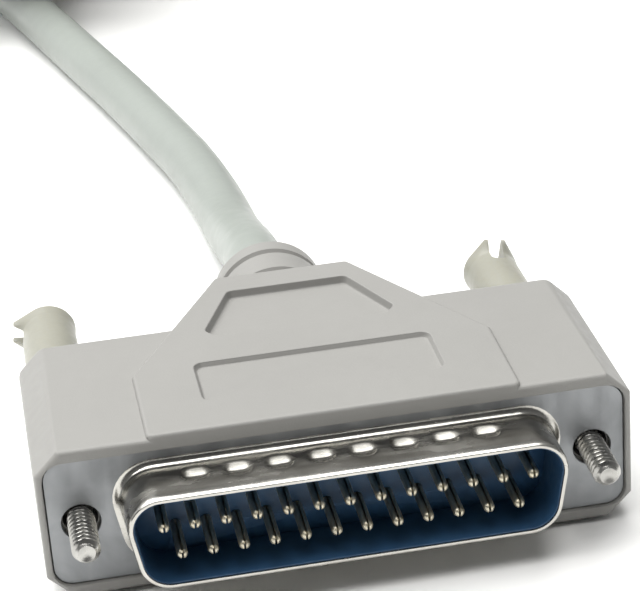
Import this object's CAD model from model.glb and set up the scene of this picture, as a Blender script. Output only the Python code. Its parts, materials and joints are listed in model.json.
"""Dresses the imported 25-way cable connector: its cable, housings, shells, contacts,
thumbscrews and strap, on a pale floor under soft light."""

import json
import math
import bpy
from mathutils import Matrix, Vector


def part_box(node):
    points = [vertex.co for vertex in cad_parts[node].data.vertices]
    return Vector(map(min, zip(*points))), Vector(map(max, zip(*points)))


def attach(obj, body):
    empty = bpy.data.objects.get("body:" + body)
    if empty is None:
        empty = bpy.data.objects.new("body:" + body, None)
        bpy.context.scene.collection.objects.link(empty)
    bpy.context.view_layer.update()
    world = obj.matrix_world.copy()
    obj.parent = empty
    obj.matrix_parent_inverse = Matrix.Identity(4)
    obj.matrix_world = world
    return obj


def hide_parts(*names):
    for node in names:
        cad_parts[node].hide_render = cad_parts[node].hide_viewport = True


bl_info = {
    "name": "Moulded Cable Connector",
    "version": (1, 0, 0),
    "blender": (4, 5, 0),
    "location": "View3D > Sidebar > Connector",
    "description": "Builds the visible pieces and materials of a 25-way cable connector",
    "category": "Object",
}

import bmesh
import bpy
from bpy.props import FloatProperty, FloatVectorProperty, PointerProperty
from mathutils import Matrix, Vector

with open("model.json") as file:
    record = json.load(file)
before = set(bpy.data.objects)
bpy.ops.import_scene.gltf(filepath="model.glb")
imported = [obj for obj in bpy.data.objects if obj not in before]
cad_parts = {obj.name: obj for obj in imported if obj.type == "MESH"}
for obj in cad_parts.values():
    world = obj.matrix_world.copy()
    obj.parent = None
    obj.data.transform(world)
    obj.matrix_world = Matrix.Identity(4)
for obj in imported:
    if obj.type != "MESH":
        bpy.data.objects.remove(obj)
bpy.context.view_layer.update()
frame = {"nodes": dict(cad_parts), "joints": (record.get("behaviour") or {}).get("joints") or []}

# Connector pieces are drawn in a connector's own frame, in millimetres: the flange's front
# face is at Y 0, the plug faces -Y, and the plug shell's middle is at X 0 and Z 0.
MM = 0.001
ENDS = ("", "far_")


def connector_place(end):
    """Matrix from a connector's own millimetres to the row frame, from its screws' axes."""
    names = [f"{end}thumbscrew_{side}_turn" for side in ("left", "right")]
    left, right = (next(j for j in frame["joints"] if j["name"] == n) for n in names)
    back = Vector(left["axis"]).normalized()
    up = Vector((0, 0, 1))
    place = Matrix((back.cross(up), back, up)).transposed().to_4x4()
    place.translation = (Vector(left["pos_m"]) + Vector(right["pos_m"])) / 2
    return place @ Matrix.Scale(MM, 4)


PLACES = {end: connector_place(end) for end in ENDS}


def own_box(node):
    """Lowest and highest corner of a near connector's CAD node, in its own millimetres."""
    back = PLACES[""].inverted()
    return tuple(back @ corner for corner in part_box(node))


HOOD_LOW, HOOD_HIGH = own_box("hood")
SHELL_LOW, SHELL_HIGH = own_box("front_shell")
PIN_LOW, PIN_HIGH = own_box("pin_07")
STUD_LOW, STUD_HIGH = own_box("screw_right")
GRIP_LOW, GRIP_HIGH = own_box("knob_right")
SCREW_X = STUD_LOW.x + (STUD_HIGH.x - STUD_LOW.x) / 2

# A boolean tool stands this far out of what it cuts, a square shoulder is this long, and
# points this near to each other become one
CLEAR = 1.0
SHOULDER = 0.01
WELD = 0.0005

# Contacts: a rolled tube in front, then a collar and a solder cup
PITCH, ROW_Z = 2.77, 1.42
UPPER_COUNT, LOWER_COUNT = 13, 12
PIN_R, PIN_WALL = 0.51, 0.2
NOSE_FORWARD, NOSE_LENGTH = 0.38, 0.5
NOSE_RADII = (0.18, 0.25, 0.33, 0.4, 0.46, 0.5, PIN_R)
SLIT_LENGTH = 1.3
TUBE_END, REAR_START = 0.6, 0.3
COLLAR_Y, COLLAR_R = 1.25, 0.95
CUP_Y, CUP_R = 2.55, 0.78
CUP_BORE, CUP_DEPTH = 0.5, 2.5
CUP_OPENING = 1.9

# Plug shell: half-sizes of its sharp-cornered inside, lean, corner radius and sheet
SHELL_HW, SHELL_HH = 19.86, 4.18
SHELL_LEAN = math.radians(10)
SHELL_R = 2.6
SHEET = 0.45
SHELL_EDGE = 0.06
FOOT_R = 0.75
MOUTH_DRAW, MOUTH_FACE = 0.75, 0.25
COLLAR_GROW = 1.22
FLANGE_R = 1.8
FLANGE_EDGE = 0.08
HOLE_R = 1.75
LINING_OUT, LINING_IN = -0.02, -0.14
LINING_BACK, LINING_EDGE = 0.15, 0.05
DIMPLES = 8
DIMPLE_PITCH = 1.354 * PITCH
DIMPLE_PLACE = 0.4
DIMPLE_REACH = 0.56
DIMPLE_CUTS = 7
# A high power makes a dimple flat and square that way, a low one makes it pointed
DIMPLE_ACROSS, DIMPLE_ALONG = 4, 1.1

# Housing: chamfered wings, and a raised panel that narrows at the knee and the neck
WING_HZ = 7.5
WING_END = 21.5
CHAMFER = 2.25
PANEL_HW, PANEL_WIDE_TO = 17.0, 11.4
PANEL_R = 0.6
FLUSH = 0.004
KNEE_HW, KNEE_Y = 12.0, 20.4
NECK_HW, NECK_END = 6.7, 30.0
BOOT_R = 5.8
BORE_R, BORE_START = 3.25, 27.0
BORE_FLARE = 0.25
STUD_BORE_END = 6.0
GRIP_SEAT = 1.9
MOULD_GAP = 0.05
SCREW_GAP = 0.2

# Slots of the bend relief: (how far behind the neck, half angle in degrees)
SLOTS = ((4.5, 38), (9.0, 76))
SLOT_W = 1.0
SLOT_DEPTH = 0.45

# Recesses in the panel: the label's rectangle, and the corners of the one for the fingers
LABEL_Y, LABEL_HW, LABEL_HL = 8.45, 11.2, 3.75
GRASP = ((9.2, 18.6), (5.9, 26.5), (-5.9, 26.5), (-9.2, 18.6), (-8.2, 17.2), (8.2, 17.2))
LABEL_DEPTH, LABEL_R = 0.5, 0.9
GRASP_DEPTH, GRASP_R = 0.8, 0.7
RECESS_FOOT = 0.2

# Hollow for the inner moulding: its right-hand corners from front to back, and half depth
BLOCK_Y = 6.05
HOLLOW = ((19.27, BLOCK_Y - 0.1), (19.27, 12.06), (5.25, 26.08), (5.25, 28.02))
HOLLOW_HZ = 4.65

# Thumbscrews: the threaded stud, and the grip with its lip
STUD_R = 1.42
STUD_SHORT, CREST_DROP = 0.5, 0.13
NOSE_CHAMFER = 0.5
NOSE_DISH = ((0.22, 0.15), (0.1, 0.5))
THREAD_END, ROOT_R = 2.9, 1.15
SHANK_R = 1.1
SHOULDER_Y = 4.3
GRIP_R, GRIP_LIP, GRIP_APEX = 2.9, 3.58, 5.2
GRIP_SLOT, SLOT_LENGTH = 1.5, 2.4
GRIP_FRONT_EDGE, GRIP_REAR_EDGE = 0.45, 0.3
GRIP_ROUND_TO = WING_END + 1.7
WELL_R, WELL_DEPTH = 1.5, 3.0
LIP_FLARE, LIP_TAPER = 1.4, 0.14
# Which way each grip's lip points, in degrees about its screw
LIPS = {("", "left"): 173, ("", "right"): 80, ("far_", "left"): 0, ("far_", "right"): 270}

# Lamps: (name, place, size, share of the overhead light's power, tint), and where they aim
LAMPS = (
    ("overhead", (-0.12, 0.1, 0.6), 0.75, 1, (1, 0.995, 0.98)),
    ("rear_left", (-0.26, 0.28, 0.24), 0.5, 0.06, (0.98, 0.99, 1)),
)
AIM = (-0.01, 0.06, 0)
SKY_TINT = (0.98, 0.99, 1, 1)
# The surroundings brighten from front to above between these two values of Y
DUSK, DAY = -0.95, 0.05
FLOOR_HALF = 3

# Colours of what is inside, and the angle from which an edge stays sharp
INNER_COLOUR, WIRE_COLOUR = "e3ded0", "8c6a50"
SHARP_FROM = math.radians(32)


def srgb(text):
    """Linear colour of a hexadecimal one."""
    parts = [int(text[i : i + 2], 16) / 255 for i in (0, 2, 4)]
    return tuple(p / 12.92 if p <= 0.04045 else ((p + 0.055) / 1.055) ** 2.4 for p in parts)


# ---- settings ----


def length(name, description, millimetres):
    """A length property with a default given in millimetres."""
    return FloatProperty(
        name=name, description=description, default=millimetres * MM, min=0, unit="LENGTH"
    )


def colour(name, description, text):
    """A colour property with a hexadecimal default."""
    return FloatVectorProperty(
        name=name, description=description, default=srgb(text), min=0, max=1, subtype="COLOR"
    )


def angle(name, description, degrees):
    """An angle property with a default given in degrees."""
    return FloatProperty(
        name=name, description=description, default=math.radians(degrees), subtype="ANGLE"
    )


class HousingSettings(bpy.types.PropertyGroup):
    long_edge: length("Long edges", "Round of the wings' long edges in front", 0.3)
    long_edge_rear: length("Long edges, rear", "Round of the wings' long edges behind", 1.3)
    front_edge: length("Front edges", "Round of the wings' front edges", 0.5)
    rear_edge: length("Rear edges", "Round of the wings' rear edges", 1.5)
    panel_edge: length("Panel edges", "Round of the raised panel's edges", 0.36)
    boot_edge: length("Relief end", "Round at the end of the bend relief", 0.8)
    rim: length("Recess rims", "Round of the recesses' rims", 0.12)
    draft: length("Draft", "How far the recess walls lean in", 0.14)
    plastic: colour("Plastic", "Colour of the housing", "908f8c")


class PlugSettings(bpy.types.PropertyGroup):
    dimple_w: length("Dimple width", "Size of a contact dimple along the shell", 2.75)
    dimple_l: length("Dimple length", "Size of a contact dimple front to back", 2.5)
    dimple_depth: length("Dimple depth", "Depth of a contact dimple", 0.38)
    seam: length("Contact seam", "Width of the seam along a rolled contact", 0.18)
    nose_slit: length("Nose slit", "Width of the slit across a contact's nose", 0.2)
    plating: colour("Plating", "Colour of the plated shell", "bab8b2")
    flange: colour("Flange", "Colour of the satin flange", "8b8d8f")
    gold: colour("Contacts", "Colour of the contacts", "c9c2ae")
    insulator: colour("Insulator", "Colour of the insulator", "2e4d6c")


class ScrewSettings(bpy.types.PropertyGroup):
    thread_pitch: length("Thread pitch", "Distance between two threads", 0.635)
    thread_depth: length("Thread depth", "Depth of the thread", 0.4)
    steel: colour("Steel", "Colour of the screws", "acaba7")
    ivory: colour("Grips", "Colour of the thumb grips", "949388")


class CableSettings(bpy.types.PropertyGroup):
    jacket: colour("Jacket", "Colour of the cable's jacket", "929792")
    strap: colour("Strap", "Colour of the strap round the coil", "34373a")


class StudioSettings(bpy.types.PropertyGroup):
    lens: FloatProperty(
        name="Lens", description="Focal length of the camera", default=136.1, unit="CAMERA"
    )
    camera_at: FloatVectorProperty(
        name="Camera", description="Place of the camera",
        default=(-0.0281, -0.2051, 0.1191), subtype="TRANSLATION",
    )
    azimuth: angle("Azimuth", "Which way the camera looks, from +Y towards +X", 8.36)
    elevation: angle("Elevation", "How far the camera looks down", 25.97)
    roll: angle("Roll", "Turn of the camera about its line of sight", -4.13)
    key: FloatProperty(
        name="Overhead light", description="Power of the overhead light", default=9.1,
        subtype="POWER",
    )
    fill: FloatProperty(
        name="Surrounding light", description="Strength of the light above and behind",
        default=0.28,
    )
    front_fill: FloatProperty(
        name="Front light", description="Strength of the surroundings in front", default=0.08
    )
    floor: colour("Floor", "Colour of the floor", "f7f7f6")


SETTINGS = {
    "connector_housing": HousingSettings,
    "connector_plug": PlugSettings,
    "connector_screws": ScrewSettings,
    "connector_cable": CableSettings,
    "connector_studio": StudioSettings,
}


# ---- outlines ----


def outline(corners, radius, inset=0.0, steps=4):
    """Points round an anticlockwise outline, drawn in by inset and with round corners."""
    made = []
    for before, at, after in zip(corners[-1:] + corners[:-1], corners, corners[1:] + corners[:1]):
        come = (Vector(at) - Vector(before)).normalized()
        go = (Vector(after) - Vector(at)).normalized()
        into, onto = Vector((-come.y, come.x)), Vector((-go.y, go.x))
        turn = math.atan2(come.x * go.y - come.y * go.x, come.dot(go))
        way = math.copysign(1, turn)
        r = max(radius - way * inset, 0.01)
        corner = Vector(at) + inset * (into + onto) / (1 + into.dot(onto))
        start = corner - come * r * math.tan(abs(turn) / 2)
        middle = start + way * r * into
        for k in range(steps + 1):
            made.append(middle + Matrix.Rotation(turn * k / steps, 2) @ (start - middle))
    return [tuple(p) for p in made]


def circle(r, count=48):
    """Points round a circle, anticlockwise."""
    return [(r * math.cos(a), r * math.sin(a)) for a in turns(count)]


def turns(count):
    """Angles evenly spaced round a full turn."""
    return [2 * math.pi * k / count for k in range(count)]


def rectangle(hw, hh):
    """Corners of a rectangle of this half width and half height, anticlockwise."""
    return [(-hw, -hh), (hw, -hh), (hw, hh), (-hw, hh)]


def upright(points, y):
    """An outline in X and Z, as a ring at this Y."""
    return [(x, y, z) for x, z in points]


def level(points, z):
    """An outline in X and Y, as a ring at this Z."""
    return [(x, y, z) for x, y in points]


def round_edge(face, inside, r, steps=4):
    """(place, inset) from a face at face to the full outline, round an edge of radius r."""
    way = math.copysign(1, inside - face)
    return [(face + way * r * (1 - math.cos(a)), r * (1 - math.sin(a))) for a in quarter(steps)]


def quarter(steps):
    """Angles from 0 to a quarter turn."""
    return [math.pi / 2 * k / steps for k in range(steps + 1)]


def eased(share):
    """A share from 0 to 1 that starts and stops gently."""
    return share * share * (3 - 2 * share)


def within(value, low=0, high=1):
    """The value, kept between two others."""
    return min(high, max(low, value))


def dee(grow, stations=()):
    """The plug shell's outline grown by grow, with extra points along its two flats."""

    def corner(side, up, first, last):
        """Points round one corner, between two angles."""
        z = up * (SHELL_HH - SHELL_R)
        lean = (z - SHELL_HH) * math.sin(SHELL_LEAN) - SHELL_R
        x = side * (SHELL_HW + lean / math.cos(SHELL_LEAN))
        r = SHELL_R + grow
        arc = [first + (last - first) * k / 10 for k in range(11)]
        return [(x + r * math.cos(a), z + r * math.sin(a)) for a in arc]

    lean, half, full = SHELL_LEAN, math.pi / 2, math.pi
    top = [(x, SHELL_HH + grow) for x in reversed(stations)]
    bottom = [(x, -SHELL_HH - grow) for x in stations]
    return (
        corner(1, 1, -lean, half) + top + corner(-1, 1, half, full + lean)
        + corner(-1, -1, full + lean, 3 * half) + bottom
        + corner(1, -1, 3 * half, 2 * full - lean)
    )


# ---- solids ----


def loft(rings, closed=False):
    """Solid mesh through rings of points, capped at both ends unless it closes on itself."""
    bm = bmesh.new()
    loops = skin(bm, rings, closed)
    if not closed:
        bm.faces.new(loops[0])
        bm.faces.new(loops[-1])
    return as_mesh(bm)


def skin(bm, rings, closed=False):
    """Adds faces from each ring of points to the next, and returns the rings."""
    loops = [[bm.verts.new(p) for p in ring] for ring in rings]
    for a, b in zip(loops, loops[1:] + loops[:1] if closed else loops[1:]):
        for i in range(len(a)):
            bm.faces.new((a[i - 1], a[i], b[i], b[i - 1]))
    return loops


def fill(bm, rings):
    """Flat face inside the first ring, with the other rings left open."""
    edges = []
    for ring in rings:
        for pair in zip(ring[-1:] + ring[:-1], ring):
            edges.append(bm.edges.get(pair) or bm.edges.new(pair))
    bmesh.ops.triangle_fill(bm, use_beauty=True, use_dissolve=False, edges=edges)


def added(name, data):
    """A new object in the scene."""
    obj = bpy.data.objects.new(name, data)
    bpy.context.scene.collection.objects.link(obj)
    return obj


def as_mesh(bm):
    """The finished mesh, its faces all turned outwards."""
    bmesh.ops.recalc_face_normals(bm, faces=bm.faces)
    mesh = bpy.data.meshes.new("shape")
    bm.to_mesh(mesh)
    bm.free()
    return mesh


def turned(profile, count=48, x=0.0):
    """Solid turned about a line along Y, from (y, radius) pairs."""
    return loft([[(x + px, y, pz) for px, pz in circle(r, count)] for y, r in profile])


def moved(mesh, *matrices):
    """One copy of the mesh for each matrix."""
    made = []
    for matrix in matrices:
        made.append(mesh.copy())
        made[-1].transform(matrix)
        if matrix.determinant() < 0:
            made[-1].flip_normals()
    return made


def joined(meshes):
    """All these meshes in one."""
    bm = bmesh.new()
    for mesh in meshes:
        bm.from_mesh(mesh)
    made = bpy.data.meshes.new("shape")
    bm.to_mesh(made)
    bm.free()
    return made


def carve(mesh, tools, operation="DIFFERENCE"):
    """The mesh after these tools are cut from it or joined to it."""
    body = added("carved", mesh)
    helpers = [added("tool", tool) for tool in tools]
    for helper in helpers:
        step = body.modifiers.new("carve", "BOOLEAN")
        step.operation = operation
        step.solver = "EXACT"
        step.object = helper
    graph = bpy.context.evaluated_depsgraph_get()
    made = bpy.data.meshes.new_from_object(body.evaluated_get(graph))
    for o in (body, *helpers):
        bpy.data.objects.remove(o)
    if not made.polygons:
        raise RuntimeError("a cut left nothing")
    return welded(made)


def welded(mesh, distance=WELD):
    """The mesh with its doubled points joined and its thinnest slivers gone."""
    bm = bmesh.new()
    bm.from_mesh(mesh)
    bmesh.ops.remove_doubles(bm, verts=bm.verts, dist=distance)
    bmesh.ops.dissolve_degenerate(bm, edges=bm.edges, dist=distance)
    return as_mesh(bm)


def mirrored():
    """The two placings above and below the shell's middle."""
    return Matrix.Identity(4), Matrix.Scale(-1, 4, Vector((0, 0, 1)))


def piece(name, mesh, material, body, nodes, place=Matrix.Identity(4)):
    """A shown piece that stands for CAD nodes and moves with a body."""
    mesh.transform(place)
    mesh.materials.clear()
    mesh.materials.append(material)
    mesh.polygons.foreach_set("use_smooth", [True] * len(mesh.polygons))
    mesh.set_sharp_from_angle(angle=SHARP_FROM)
    obj = added(name, mesh)
    even = obj.modifiers.new("even_normals", "WEIGHTED_NORMAL")
    even.keep_sharp = True
    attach(obj, body)
    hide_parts(*nodes)
    return obj


def dress(node, material):
    """Gives a CAD node its material."""
    obj = frame["nodes"][node]
    obj.data.materials.clear()
    obj.data.materials.append(material)


# ---- finishes ----


def rescaled(nodes, *ends):
    """A node that maps what lies between two values to between two others."""
    made = nodes.new("ShaderNodeMapRange")
    for name, end in zip(("From Min", "From Max", "To Min", "To Max"), ends):
        made.inputs[name].default_value = end
    return made


class Finish:
    """A material under construction."""

    def __init__(self, name, base, roughness, sockets=()):
        self.material = bpy.data.materials.new(name)
        self.material.use_nodes = True
        self.nodes = self.material.node_tree.nodes
        self.links = self.material.node_tree.links
        self.shader = self.nodes["Principled BSDF"]
        self.base = (*base[:3], 1)
        self.shader.inputs["Base Color"].default_value = self.base
        self.shader.inputs["Roughness"].default_value = roughness
        for socket, value in dict(sockets).items():
            self.shader.inputs[socket].default_value = value
        self.where = self.nodes.new("ShaderNodeTexCoord").outputs["Object"]
        self.bump = None

    def noise(self, scale, detail=4.0, stretch=(1, 1, 1), distortion=0.0):
        """Noise in the piece's own metres; scale is in features a metre."""
        mapping = self.nodes.new("ShaderNodeMapping")
        mapping.inputs["Scale"].default_value = stretch
        self.links.new(self.where, mapping.inputs["Vector"])
        made = self.nodes.new("ShaderNodeTexNoise")
        made.inputs["Scale"].default_value = scale
        made.inputs["Detail"].default_value = detail
        made.inputs["Distortion"].default_value = distortion
        self.links.new(mapping.outputs["Vector"], made.inputs["Vector"])
        return made.outputs["Fac"]

    def shades(self, value, spread, place=(0.3, 0.7)):
        """Base colour a little darker and lighter where the value is low and high."""
        made = self.nodes.new("ShaderNodeValToRGB")
        for stop, at, k in zip(made.color_ramp.elements, place, (1 - spread, 1 + spread)):
            stop.position = at
            stop.color = (*(min(1, c * k) for c in self.base[:3]), 1)
        self.links.new(value, made.inputs["Fac"])
        self.links.new(made.outputs["Color"], self.shader.inputs["Base Color"])

    def polish(self, value, low, high):
        """Roughness from low to high as the value goes from 0.3 to 0.7."""
        made = rescaled(self.nodes, 0.3, 0.7, low, high)
        self.links.new(value, made.inputs["Value"])
        self.links.new(made.outputs["Result"], self.shader.inputs["Roughness"])

    def relief(self, height, depth, strength=1.0):
        """Fine relief of this depth in metres."""
        made = self.nodes.new("ShaderNodeBump")
        made.inputs["Strength"].default_value = strength
        made.inputs["Distance"].default_value = depth
        self.links.new(height, made.inputs["Height"])
        if self.bump:
            self.links.new(self.bump.outputs["Normal"], made.inputs["Normal"])
        self.links.new(made.outputs["Normal"], self.shader.inputs["Normal"])
        self.bump = made
        return self


def moulded_plastic(name, base, roughness=0.46, grain=0.000012):
    """Satin moulded plastic with a fine spark-eroded grain and faint flow marks."""
    made = Finish(name, base, roughness, {"Specular IOR Level": 0.34})
    made.shades(made.noise(70, 3, distortion=0.4), 0.02)
    made.polish(made.noise(900, 2), roughness - 0.04, roughness + 0.06)
    made.relief(made.noise(5200, 3), grain).relief(made.noise(160, 2), grain * 2)
    return made.material


def cable_jacket(base):
    """Smooth extruded jacket: soft sheen, a faint orange-peel skin and slight clouding."""
    gloss = {"Specular IOR Level": 0.4, "Subsurface Weight": 0.06}
    made = Finish("cable_jacket", base, 0.4, gloss)
    made.shader.inputs["Subsurface Radius"].default_value = (0.002, 0.002, 0.0016)
    made.shades(made.noise(45, 3, distortion=0.6), 0.025)
    made.polish(made.noise(400, 3), 0.34, 0.46)
    made.relief(made.noise(1500, 2), 0.000015)
    return made.material


def ivory_nylon(base):
    """Slightly translucent ivory plastic with a smooth moulded skin."""
    gloss = {"Specular IOR Level": 0.45, "Subsurface Weight": 0.18}
    made = Finish("ivory_nylon", base, 0.38, gloss)
    made.shader.inputs["Subsurface Radius"].default_value = (0.0012, 0.001, 0.0006)
    made.shades(made.noise(220, 3), 0.02)
    made.polish(made.noise(1400, 2), 0.33, 0.44)
    made.relief(made.noise(3200, 2), 0.000008)
    return made.material


def plated_steel(name, base, roughness=0.24, streak=(1, 1, 1), dents=0.00002):
    """Bright plated sheet: fine rolling lines, soft stains and a varying polish."""
    made = Finish(name, base, roughness, {"Metallic": 1.0})
    made.shades(made.noise(260, 4, distortion=1.0), 0.10)
    made.polish(made.noise(700, 4, streak), roughness - 0.07, roughness + 0.10)
    made.relief(made.noise(2600, 3, streak), 0.000006).relief(made.noise(420, 2), dents)
    return made.material


def blue_resin(base):
    """Glossy glass-filled resin of the insulator."""
    made = Finish("blue_resin", base, 0.34, {"Specular IOR Level": 0.35})
    made.shades(made.noise(300, 3, distortion=0.5), 0.14)
    made.polish(made.noise(1200, 3), 0.3, 0.42)
    made.relief(made.noise(2400, 3), 0.00001)
    return made.material


def gold_flash(base):
    """Gold plating on rolled contacts, drawn lengthwise."""
    made = Finish("gold_flash", base, 0.4, {"Metallic": 1.0})
    made.shades(made.noise(900, 3), 0.06)
    made.polish(made.noise(3000, 3, (1, 0.2, 1)), 0.36, 0.48)
    made.relief(made.noise(6000, 2, (1, 0.15, 1)), 0.000001)
    return made.material


def wire_sleeve(base):
    """Thin smooth sleeves of the wires, a little different from one to the next."""
    made = Finish("wire_sleeve", base, 0.42)
    made.shades(made.noise(330, 1), 0.45, (0.35, 0.65))
    made.polish(made.noise(1500, 2), 0.36, 0.5)
    return made.material


def woven_strap(base):
    """Brushed strap: a ribbed weave under short loops."""
    made = Finish("woven_strap", base, 0.85, {"Sheen Weight": 0.5, "Sheen Roughness": 0.5})
    weave = made.nodes.new("ShaderNodeTexWave")
    weave.inputs["Scale"].default_value = 420
    weave.inputs["Distortion"].default_value = 1.5
    weave.inputs["Detail Scale"].default_value = 3
    made.links.new(made.where, weave.inputs["Vector"])
    made.shades(made.noise(1800, 4), 0.3)
    made.relief(weave.outputs["Fac"], 0.00012, 0.7).relief(made.noise(4200, 4), 0.00008)
    return made.material


def pale_floor(base):
    """Plain pale floor with a hardly visible tooth."""
    made = Finish("pale_floor", base, 0.9, {"Specular IOR Level": 0.1})
    made.relief(made.noise(700, 2), 0.00001, 0.3)
    return made.material


# ---- operators ----


class CONNECTOR_OT_stage(bpy.types.Operator):
    """Adds the camera, the floor and the lights"""

    bl_idname = "connector.stage"
    bl_label = "Stage"

    def execute(self, context):
        studio = context.scene.connector_studio
        self.camera(context, studio)
        self.floor(context, studio)
        self.lights(context, studio)
        self.surroundings(context, studio)
        context.scene.view_settings.view_transform = "Standard"
        return {"FINISHED"}

    def camera(self, context, studio):
        """Camera in front of the near connector."""
        camera = added("camera", bpy.data.cameras.new("camera"))
        camera.data.lens = studio.lens
        camera.data.sensor_width = 36
        camera.data.clip_start = 0.01
        camera.matrix_world = (
            Matrix.Translation(studio.camera_at)
            @ Matrix.Rotation(-studio.azimuth, 4, "Z")
            @ Matrix.Rotation(math.pi / 2 - studio.elevation, 4, "X")
            @ Matrix.Rotation(studio.roll, 4, "Z")
        )
        context.scene.camera = camera

    def floor(self, context, studio):
        """Wide floor the cable lies on."""
        bm = bmesh.new()
        bmesh.ops.create_grid(bm, x_segments=1, y_segments=1, size=FLOOR_HALF)
        floor = added("floor", as_mesh(bm))
        floor.data.materials.append(pale_floor(studio.floor))

    def lights(self, context, studio):
        """Square lamps turned to the near connector."""
        for name, at, size, share, tint in LAMPS:
            lamp = bpy.data.lights.new(name, "AREA")
            lamp.shape = "SQUARE"
            lamp.size = size
            lamp.energy = studio.key * share
            lamp.color = tint
            holder = added(name, lamp)
            holder.location = at
            line = Vector(AIM) - Vector(at)
            holder.rotation_euler = line.to_track_quat("-Z", "Y").to_euler()

    def surroundings(self, context, studio):
        """Soft light from all round, dimmer in front than above and behind."""
        world = bpy.data.worlds.new("surroundings")
        world.use_nodes = True
        nodes, links = world.node_tree.nodes, world.node_tree.links
        backdrop = nodes["Background"]
        backdrop.inputs["Color"].default_value = SKY_TINT
        split = nodes.new("ShaderNodeSeparateXYZ")
        dimmer = rescaled(nodes, DUSK, DAY, studio.front_fill, studio.fill)
        links.new(nodes.new("ShaderNodeTexCoord").outputs["Generated"], split.inputs["Vector"])
        links.new(split.outputs["Y"], dimmer.inputs["Value"])
        links.new(dimmer.outputs["Result"], backdrop.inputs["Strength"])
        context.scene.world = world


# The cable's own route, in millimetres in the row frame, from inside the near housing to
# the coil, and from the coil into the far housing
ROUTE = (
    (0, 8.5, 7.9), (0, 16, 7.9), (0, 24, 7.9), (0, 29, 7.7), (0, 36, 6.6), (-0.2, 43, 4.9),
    (-0.4, 50, 3.6), (-0.6, 56, 3.2), (-1.2, 63, 3.2), (-2.4, 72, 3.2), (-4.2, 81, 3.2),
    (-8.2, 99, 3.2), (-12.4, 116, 3.2), (-16.6, 133, 3.2), (-21, 150, 3.2),
    (-26.4, 170, 3.5), (-29.6, 184, 3.9),
)
TAIL = (
    (53.5, 182, 11.5), (48.5, 173, 13.5), (42, 167, 15.8), (33.5, 161.8, 18.6),
    (24, 158.8, 20.8), (17, 158, 21.5), (12, 158, 21.6), (4, 158, 21.6), (-3.5, 158, 21.6),
)
CABLE_D = 6.4
STRAP_THICK, STRAP_EDGE, STRAP_MARGIN, STRAP_BEND = 0.8, 0.3, 0.25, 2.4
# The coil's middle, the radius of its middle lane, the height of its two layers, its half
# turns, the angles between which a turn changes lanes, and its dip inwards as it climbs
COIL_AT = (12, 194)
COIL_R = 36
LAYERS = (4.1, 10.5)
HALF_TURNS = 11
POINTS_PER_TURN = 48
STEP_FROM, STEP_TO = 285, 335
CLIMB_DIP = 2.6


def coil_points():
    """Centre line of the coil: three turns inwards, up, and two and a half turns outwards."""
    lanes = [(COIL_R + CABLE_D * n, LAYERS[0]) for n in (1, 0, -1)]
    lanes += [(COIL_R + CABLE_D * n, LAYERS[1]) for n in (-1, 0, 1)]
    made = []
    for k in range(HALF_TURNS * POINTS_PER_TURN // 2 + 1):
        turn, step = divmod(k, POINTS_PER_TURN)
        along = 360 * step / POINTS_PER_TURN
        here, after = lanes[turn], lanes[min(turn + 1, len(lanes) - 1)]
        share = within((along - STEP_FROM) / (STEP_TO - STEP_FROM))
        r, z = (a + (b - a) * eased(share) for a, b in zip(here, after))
        if here[1] != after[1]:
            r -= CLIMB_DIP * math.sin(math.pi * share)
        angle = math.radians(180 - along)
        made.append((COIL_AT[0] + r * math.cos(angle), COIL_AT[1] + r * math.sin(angle), z))
    return made


class CONNECTOR_OT_cable(bpy.types.Operator):
    """Lays the cable as one curve from the near housing through its coil to the far one"""

    bl_idname = "connector.cable"
    bl_label = "Cable"

    def execute(self, context):
        line = bpy.data.curves.new("cord", "CURVE")
        line.dimensions = "3D"
        line.resolution_u = 4
        line.bevel_depth = CABLE_D / 2 * MM
        line.bevel_resolution = 7
        line.use_fill_caps = True
        spline = line.splines.new("BEZIER")
        points = [*ROUTE, *coil_points(), *TAIL]
        spline.bezier_points.add(len(points) - 1)
        for knot, at in zip(spline.bezier_points, points):
            knot.co = Vector(at) * MM
            knot.handle_left_type = knot.handle_right_type = "AUTO"
        line.materials.append(cable_jacket(context.scene.connector_cable.jacket))
        cord = added("cord", line)
        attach(cord, "connector")
        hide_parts("cable", "cable_coil", "cable_tail")
        return {"FINISHED"}


class CONNECTOR_OT_strap(bpy.types.Operator):
    """Wraps the strap round the coil's turns"""

    bl_idname = "connector.strap"
    bl_label = "Strap"

    def execute(self, context):
        low, high = (Vector(c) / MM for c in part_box("cable_tie"))
        middle, half = (low + high) / 2, (high - low) / 2
        deep = STRAP_THICK / 2
        across = outline(rectangle(half.x - STRAP_MARGIN, deep), STRAP_EDGE, steps=3)
        path = outline(rectangle(half.y - deep, half.z - deep), STRAP_BEND, steps=6)
        rings = []
        for before, (y, z), after in zip(path[-1:] + path[:-1], path, path[1:] + path[:1]):
            along = (Vector(after) - Vector(before)).normalized()
            rings.append([(middle.x + w, middle.y + y + t * along.y, middle.z + z - t * along.x)
                          for w, t in across])
        piece("strap", loft(rings, closed=True), woven_strap(context.scene.connector_cable.strap),
              "connector", ["cable_tie"], Matrix.Scale(MM, 4))
        return {"FINISHED"}


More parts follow.
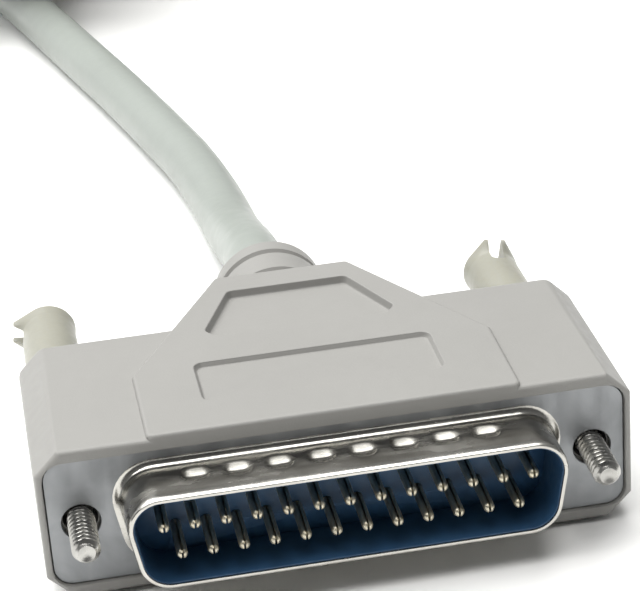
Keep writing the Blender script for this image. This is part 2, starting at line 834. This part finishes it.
class CONNECTOR_OT_housing(bpy.types.Operator):
    """Builds the moulded housing of both connectors"""

    bl_idname = "connector.housing"
    bl_label = "Housings"

    def execute(self, context):
        s = context.scene.connector_housing
        plastic = moulded_plastic("housing_plastic", s.plastic)
        body = carve(self.wings(s), [self.panel(s), self.boot(s)], "UNION")
        body = carve(body, [*self.recesses(s), *self.slots(), *self.pockets(s), *self.bores()])
        for end, mesh in zip(ENDS, moved(body, *PLACES.values())):
            piece(end + "housing", mesh, plastic, "connector", [end + "hood"])
        return {"FINISHED"}

    def wings(self, s):
        """Chamfered body that holds the two screws."""
        hw, hz, c = HOOD_HIGH.x, WING_HZ, CHAMFER
        corners = [(hw - c, -hz), (hw, c - hz), (hw, hz - c), (hw - c, hz),
                   (c - hw, hz), (-hw, hz - c), (-hw, c - hz), (c - hw, -hz)]
        steps = round_edge(HOOD_LOW.y, WING_END, s.front_edge / MM)
        steps += reversed(round_edge(WING_END, HOOD_LOW.y, s.rear_edge / MM, 6))
        rings = []
        for y, inset in steps:
            share = within(y / WING_END)
            r = (s.long_edge + (s.long_edge_rear - s.long_edge) * share) / MM
            rings.append(upright(outline(corners, r, inset, 6), y))
        return loft(rings)

    def panel(self, s):
        """Raised middle that narrows to the neck."""
        right = [(PANEL_HW, HOOD_LOW.y + FLUSH), (PANEL_HW, PANEL_WIDE_TO),
                 (KNEE_HW, KNEE_Y), (NECK_HW, NECK_END)]
        corners = right + [(-x, y) for x, y in reversed(right)]
        steps = round_edge(-HOOD_HIGH.z, 0, s.panel_edge / MM)
        steps += [(-z, inset) for z, inset in reversed(steps)]
        return loft([level(outline(corners, PANEL_R, inset), z) for z, inset in steps])

    def boot(self, s):
        """Round bend relief behind the neck."""
        end = round_edge(HOOD_HIGH.y, 0, s.boot_edge / MM, 6)
        return turned([(NECK_END - 1, BOOT_R), *((y, BOOT_R - i) for y, i in reversed(end))], 64)

    def recess_steps(self, s, depth):
        """(z, inset) of a recess, from above the panel down to its floor."""
        top, rim, draft, r = HOOD_HIGH.z, s.rim / MM, s.draft / MM, RECESS_FOOT
        flare = [math.radians(a) for a in (80, 60, 40, 20, 0)]
        steps = [(top + CLEAR, -rim)]
        steps += [(top - rim * (1 - math.sin(a)), rim * (math.cos(a) - 1)) for a in flare]
        return steps + [(top - depth + r * (1 - math.sin(a)), draft + r * (1 - math.cos(a)))
                        for a in quarter(3)]

    def recesses(self, s):
        """Tools for the label's recess and the fingers' recess, above and below."""
        label = [(x, y + LABEL_Y) for x, y in rectangle(LABEL_HW, LABEL_HL)]
        tools = []
        for corners, depth, r in ((label, LABEL_DEPTH, LABEL_R), (GRASP, GRASP_DEPTH, GRASP_R)):
            tool = loft([level(outline(corners, r, inset), z)
                         for z, inset in self.recess_steps(s, depth)])
            tools += moved(tool, *mirrored())
        return tools

    def slots(self):
        """Tools for the bend relief's slots, whose walls lean outwards."""
        low, high, cuts = BOOT_R - SLOT_DEPTH, BOOT_R + CLEAR, 12
        foot = SLOT_W * 0.2
        mouth = foot + SLOT_W * 0.3 * (high - low) / SLOT_DEPTH
        section = [(mouth, high), (-mouth, high), (-foot, low), (foot, low)]
        tools = []
        for back, half in SLOTS:
            rings = []
            for k in range(-cuts, cuts + 1):
                a = math.radians(half) * k / cuts
                rings.append([(r * math.sin(a), NECK_END + back + w, r * math.cos(a))
                              for w, r in section])
            tools += moved(loft(rings), *mirrored())
        return tools

    def pockets(self, s):
        """Tools for the flange's seat, the rear shell's collar and the inner moulding."""
        lip, rim = HOOD_LOW.y, s.rim / MM
        hw, hh = SHELL_HIGH.x + MOULD_GAP, SHELL_HIGH.z + MOULD_GAP
        mouth = [(lip - CLEAR, -rim), (lip + 0.002, -rim), (lip + rim * 0.3, -rim * 0.3),
                 (lip + rim, 0), (2 * SHEET + MOULD_GAP, 0)]
        flange = loft([upright(outline(rectangle(hw, hh), FLANGE_R, inset), y)
                       for y, inset in mouth])
        collar = loft([upright(dee(COLLAR_GROW), y) for y in (SHEET, BLOCK_Y)])
        core = [*HOLLOW, *((-x, y) for x, y in reversed(HOLLOW))]
        return [flange, collar, loft([level(core, z) for z in (-HOLLOW_HZ, HOLLOW_HZ)])]

    def bores(self):
        """Tools for the cable's bore and for a stepped bore round each thumbscrew."""

        def mouth(face, r):
            """Steps of a bore of radius r that flares at a face."""
            wide = r + BORE_FLARE
            return [(face - BORE_FLARE, r), (face + SHOULDER, wide), (face + CLEAR, wide)]

        stud, shank, grip = (r + SCREW_GAP for r in (STUD_R, SHANK_R, GRIP_R))
        seat = WING_END - GRIP_SEAT
        steps = [(SHEET, stud), (STUD_BORE_END, stud), (STUD_BORE_END + SHOULDER, shank),
                 (seat, shank), (seat + SHOULDER, grip), *mouth(WING_END, grip)]
        cable = turned([(BORE_START, BORE_R), *mouth(HOOD_HIGH.y, BORE_R)])
        return [cable] + [turned(steps, x=x) for x in (-SCREW_X, SCREW_X)]


class CONNECTOR_OT_shell(bpy.types.Operator):
    """Forms the dimpled plug shell and its flange for both connectors"""

    bl_idname = "connector.shell"
    bl_label = "Plug Shells"

    def execute(self, context):
        s = context.scene.connector_plug
        steel = plated_steel("plated_shell", s.plating, 0.22, (0.25, 1, 1))
        satin = plated_steel("satin_flange", s.flange, 0.46, (1, 1, 0.2))
        back = plated_steel("rear_plate", s.plating, 0.3)
        mesh = self.form(s)
        for end, copy in zip(ENDS, moved(mesh, *PLACES.values())):
            shell = piece(end + "plug_shell", copy, steel, "connector", [end + "front_shell"])
            shell.data.materials.append(satin)
            out = PLACES[end].inverted()
            for face in shell.data.polygons:
                face.material_index = int((out @ face.center).y > -FLUSH)
            dress(end + "rear_shell", back)
        return {"FINISHED"}

    def form(self, s):
        """One skin: dee-shaped wall with a rolled mouth, foot fillet and drilled flange."""
        wide, long_, deep = s.dimple_w / MM, s.dimple_l / MM, s.dimple_depth / MM
        middles = [(k - (DIMPLES - 1) / 2) * DIMPLE_PITCH for k in range(DIMPLES)]
        cuts = [DIMPLE_REACH * k / DIMPLE_CUTS for k in range(-DIMPLE_CUTS, DIMPLE_CUTS + 1)]
        stations = sorted(m + wide * cut for m in middles for cut in cuts)
        dimple_y = SHELL_LOW.y * DIMPLE_PLACE
        rows = [dimple_y + long_ * cut for cut in cuts]
        mouth = [(SHELL_LOW.y + MOUTH_DRAW * (1 - math.cos(a)),
                  MOUTH_FACE + (SHEET - MOUTH_FACE) * math.sin(a)) for a in quarter(7)]
        foot = [(FOOT_R * (math.sin(a) - 1), SHEET + FOOT_R * (1 - math.cos(a)))
                for a in quarter(6)]
        tip, lip = SHELL_LOW.y, SHELL_EDGE
        inner = [(SHEET, 0), (-0.2, 0), (tip + 0.5, 0), (tip + lip, 0),
                 (tip + lip / 4, lip / 4), (tip, lip)]
        steps = inner + mouth + [(y, SHEET) for y in rows] + foot

        def pressed(x, y, z):
            """The point, sunk where it lies in a dimple."""
            if abs(abs(z) - SHELL_HH - SHEET) > 0.01:
                return x, y, z
            off = min((abs(x - m) / wide * 2) ** DIMPLE_ACROSS for m in middles)
            off += (abs(y - dimple_y) / long_ * 2) ** DIMPLE_ALONG
            sink = deep * max(0, 1 - off)
            return x, y, z - math.copysign(sink, z)

        bm = bmesh.new()
        wall = skin(bm, [[pressed(*p) for p in upright(dee(grow, stations), y)]
                         for y, grow in steps])
        edge, corners = FLANGE_EDGE, rectangle(SHELL_HIGH.x, SHELL_HIGH.z)
        plate = skin(bm, [upright(outline(corners, FLANGE_R, inset, 6), y) for y, inset in (
            (0, edge), (edge, 0), (SHEET - edge, 0), (SHEET, edge))])
        front, rear = [plate[0], wall[-1]], [plate[-1], wall[0]]
        for x in (-SCREW_X, SCREW_X):
            hole = skin(bm, [[(x + px, y, pz) for px, pz in circle(r)] for y, r in (
                (0, HOLE_R + edge), (edge, HOLE_R), (SHEET, HOLE_R))])
            front.append(hole[0])
            rear.append(hole[-1])
        fill(bm, front)
        fill(bm, rear)
        return as_mesh(bm)


def contact_places():
    """Where the contacts stand, the wide row first."""
    upper = [((k - (UPPER_COUNT - 1) / 2) * PITCH, ROW_Z) for k in range(UPPER_COUNT)]
    lower = [((k - (LOWER_COUNT - 1) / 2) * PITCH, -ROW_Z) for k in range(LOWER_COUNT)]
    return [Matrix.Translation((x, 0, z)) for x, z in upper + lower]


class CONNECTOR_OT_contacts(bpy.types.Operator):
    """Rolls the contacts, with a seam along the top and a slit nose"""

    bl_idname = "connector.contacts"
    bl_label = "Contacts"

    def execute(self, context):
        s = context.scene.connector_plug
        gold = gold_flash(s.gold)
        row = moved(self.form(s), *contact_places())
        piece("far_contacts", joined(row), gold, "connector", ["far_pins"],
              PLACES["far_"])
        for i, mesh in enumerate(row, 1):
            pin = f"{i:02d}"
            piece("contact_" + pin, mesh, gold, "connector", ["pin_" + pin],
                  PLACES[""])
        return {"FINISHED"}

    def form(self, s):
        """One contact: a rolled tube with a slit nose, and its solder cup."""
        nose, end = PIN_LOW.y - NOSE_FORWARD, PIN_HIGH.y
        half = s.seam / MM / 2
        ring_steps = [(nose + NOSE_LENGTH * (1 - math.sqrt(1 - (r / PIN_R) ** 2)), r)
                      for r in NOSE_RADII]
        ring_steps += [(nose + 1.6, PIN_R), (TUBE_END, PIN_R)]

        def section(outer, y):
            """Ring with an open seam on top, nearly solid in the nose."""
            inner = outer - PIN_WALL if y > nose + NOSE_LENGTH else half + 0.02
            made = []
            for radius, way in ((outer, 1), (inner, -1)):
                gap = math.asin(half / radius)
                arc = [math.pi / 2 + gap + (2 * math.pi - 2 * gap) * k / 22 for k in range(23)]
                made += [(radius * math.cos(a), radius * math.sin(a)) for a in arc[::way]]
            return made

        tube = loft([upright(section(r, y), y) for y, r in ring_steps])
        blade = loft([upright(rectangle(s.nose_slit / MM / 2, 1), y)
                      for y in (nose - 0.5, nose + SLIT_LENGTH)])
        core, edge = PIN_R * 0.98, 0.05
        rear = turned([(REAR_START, core), (COLLAR_Y, core), (COLLAR_Y + SHOULDER, COLLAR_R),
                       (CUP_Y - SHOULDER, COLLAR_R), (CUP_Y, CUP_R), (end - edge, CUP_R),
                       (end, CUP_R - edge)], 24)
        bore = turned([(end - CUP_DEPTH - 0.1, CUP_BORE - 0.08), (end - CUP_DEPTH, CUP_BORE),
                       (end + CLEAR, CUP_BORE)], 20)
        opening = loft([upright([(-1, 0.1), (1, 0.1), (1, 1), (-1, 1)], y)
                        for y in (end - CUP_OPENING, end + CLEAR)])
        return joined([carve(tube, [blade]), carve(rear, [bore, opening])])


class CONNECTOR_OT_screws(bpy.types.Operator):
    """Cuts the threaded studs and moulds the thumb grips of both connectors"""

    bl_idname = "connector.screws"
    bl_label = "Thumbscrews"

    def execute(self, context):
        s = context.scene.connector_screws
        steel = plated_steel("screw_steel", s.steel, 0.28, dents=0.00006)
        ivory = ivory_nylon(s.ivory)
        stud, grip = self.stud(s), self.grip()
        for (end, side), lip in LIPS.items():
            body = f"{end}thumbscrew_{side}"
            x = SCREW_X if side == "right" else -SCREW_X
            place = PLACES[end] @ Matrix.Translation((x, 0, 0))
            turn = Matrix.Rotation(math.radians(-lip), 4, "Y")
            piece(f"{end}stud_{side}", stud.copy(), steel, body, [f"{end}screw_{side}"],
                  place)
            piece(f"{end}grip_{side}", grip.copy(), ivory, body, [f"{end}knob_{side}"],
                  place @ turn)
        return {"FINISHED"}

    def stud(self, s):
        """Threaded stud, its snap shoulder and the shank behind it."""
        pitch, depth = s.thread_pitch / MM, s.thread_depth / MM
        nose, crest = STUD_LOW.y + STUD_SHORT, STUD_R - CREST_DROP
        round_count, rings_per_thread = 28, 12

        def thread(y, angle):
            """Radius of the thread here: a helix with flat crests and roots."""
            phase = (y / pitch - angle / (2 * math.pi)) % 1
            height = within((abs(2 * phase - 1) - 0.08) / 0.7)
            cap = crest - max(0, nose + NOSE_CHAMFER - y)
            return min(crest - depth * (1 - height), cap)

        steps = round((THREAD_END - nose) / pitch * rings_per_thread)
        rings = [upright(circle(r, round_count), nose + dish) for dish, r in NOSE_DISH]
        for k in range(steps + 1):
            y = nose + (THREAD_END - nose) * k / steps
            rings.append([(thread(y, a) * math.cos(a), y, thread(y, a) * math.sin(a))
                          for a in turns(round_count)])
        for y, r in ((THREAD_END + 0.1, ROOT_R), (SHOULDER_Y, STUD_R),
                     (SHOULDER_Y + SHOULDER, SHANK_R), (STUD_HIGH.y, SHANK_R)):
            rings.append(upright(circle(r, round_count), y))
        return loft(rings)

    def grip(self):
        """Barrel whose rear end flares into a lip that a slot splits into two blunt horns."""
        front, end, r = GRIP_LOW.y, GRIP_HIGH.y, GRIP_R
        steps = [(y, i, 0) for y, i in round_edge(front, end, GRIP_FRONT_EDGE)]
        steps += [(GRIP_ROUND_TO, 0, 0)]
        flare_start, flare_cuts = end - LIP_FLARE - GRIP_REAR_EDGE, 6
        for k in range(flare_cuts + 1):
            share = k / flare_cuts
            steps.append((flare_start + LIP_FLARE * share, LIP_TAPER * (1 - share),
                          eased(share)))
        steps += [(y, i, 1) for y, i in reversed(round_edge(end, front, GRIP_REAR_EDGE, 3))]

        # The lip's two flanks leave the barrel at this angle, and meet its flat at a corner
        lean = math.acos(r / GRIP_APEX)
        corner = math.atan((GRIP_APEX - GRIP_LIP) / math.tan(lean) / GRIP_LIP)
        half = [corner * k / 3 for k in range(3)]
        half += [corner + (lean - corner) * k / 6 for k in range(6)]
        half += [lean + (math.pi - lean) * k / 24 for k in range(24)]
        stations = half + [math.pi] + [-a for a in reversed(half[1:])]

        def section(inset, flare):
            """Round, or drawn out to a blunt point on the +X side where it is flared."""
            made = []
            for a in stations:
                point = r
                if abs(a) < lean:
                    point = min(r / math.cos(lean - abs(a)), GRIP_LIP / math.cos(a))
                reach = r + (point - r) * flare - inset
                made.append((reach * math.cos(a), reach * math.sin(a)))
            return made

        barrel = loft([upright(section(inset, flare), y) for y, inset, flare in steps])
        press = SHANK_R + 0.02
        bore = turned([(front - CLEAR, press), (STUD_HIGH.y + 0.05, press)], 32)
        rim, foot, bottom = 0.15, 0.2, end - WELL_DEPTH
        well = turned([(bottom, WELL_R - foot), (bottom + foot, WELL_R), (end - rim, WELL_R),
                       (end + SHOULDER, WELL_R + rim), (end + CLEAR, WELL_R + rim)], 32)
        w = GRIP_SLOT / 2
        arc = [(-w * math.cos(a), w * math.sin(a)) for a in (math.pi * k / 12 for k in range(13))]
        shape = [(z, end - SLOT_LENGTH - y) for z, y in arc]
        shape += [(w, end + CLEAR), (-w, end + CLEAR)]
        slot = loft([[(x, y, z) for z, y in shape] for x in (0, GRIP_LIP + CLEAR)])
        return carve(barrel, [bore, well, slot])


class CONNECTOR_OT_inside(bpy.types.Operator):
    """Gives the insulators, the inner mouldings and the wires their finishes"""

    bl_idname = "connector.inside"
    bl_label = "Inner Parts"

    def execute(self, context):
        blue = blue_resin(context.scene.connector_plug.insulator)
        inner = moulded_plastic("inner_plastic", srgb(INNER_COLOUR), 0.55)
        wires = wire_sleeve(srgb(WIRE_COLOUR))
        for end in ENDS:
            core = welded(frame["nodes"][end + "front_insulator"].data, WELD * MM)
            lining = moved(self.lining(), PLACES[end])
            piece(end + "insulator", joined([core, *lining]), blue, "connector",
                  [end + "front_insulator"])
            dress(end + "rear_insulator", blue)
            dress(end + "inner_mould", inner)
        for node in ("wires_upper", "wires_lower", "far_wires"):
            dress(node, wires)
        return {"FINISHED"}

    def lining(self):
        """Thin skirt of the insulator along the inside of the plug shell."""
        front, root, edge = SHELL_LOW.y + LINING_BACK, -0.2, LINING_EDGE
        steps = [(root, LINING_OUT), (front + edge, LINING_OUT), (front, LINING_OUT - edge / 2),
                 (front, LINING_IN + edge / 2), (front + edge, LINING_IN), (root, LINING_IN)]
        return loft([upright(dee(grow), y) for y, grow in steps], closed=True)


class CONNECTOR_OT_cord_facts(bpy.types.Operator):
    bl_idname = "connector.cord_facts"
    bl_label = "Cord Facts"

    def execute(self, context):
        return {"FINISHED"}


ORDER = (
    CONNECTOR_OT_stage,
    CONNECTOR_OT_cable,
    CONNECTOR_OT_strap,
    CONNECTOR_OT_housing,
    CONNECTOR_OT_shell,
    CONNECTOR_OT_contacts,
    CONNECTOR_OT_screws,
    CONNECTOR_OT_inside,
    CONNECTOR_OT_cord_facts,
)


class CONNECTOR_PT_pieces(bpy.types.Panel):
    """The pieces of the connector and their settings"""

    bl_label = "Connector"
    bl_idname = "CONNECTOR_PT_pieces"
    bl_space_type = "VIEW_3D"
    bl_region_type = "UI"
    bl_category = "Connector"

    def draw(self, context):
        for operator in ORDER:
            self.layout.operator(operator.bl_idname)
        for name, group in SETTINGS.items():
            box = self.layout.box()
            for setting in group.__annotations__:
                box.prop(getattr(context.scene, name), setting)


CLASSES = (*SETTINGS.values(), *ORDER, CONNECTOR_PT_pieces)


def register():
    for cls in CLASSES:
        bpy.utils.register_class(cls)
    for name, group in SETTINGS.items():
        setattr(bpy.types.Scene, name, PointerProperty(type=group))


def unregister():
    for name in SETTINGS:
        delattr(bpy.types.Scene, name)
    for cls in reversed(CLASSES):
        bpy.utils.unregister_class(cls)


def main():
    register()
    for operator in ORDER:
        group, name = operator.bl_idname.split(".")
        getattr(getattr(bpy.ops, group), name)()


if __name__ == "__main__":
    main()
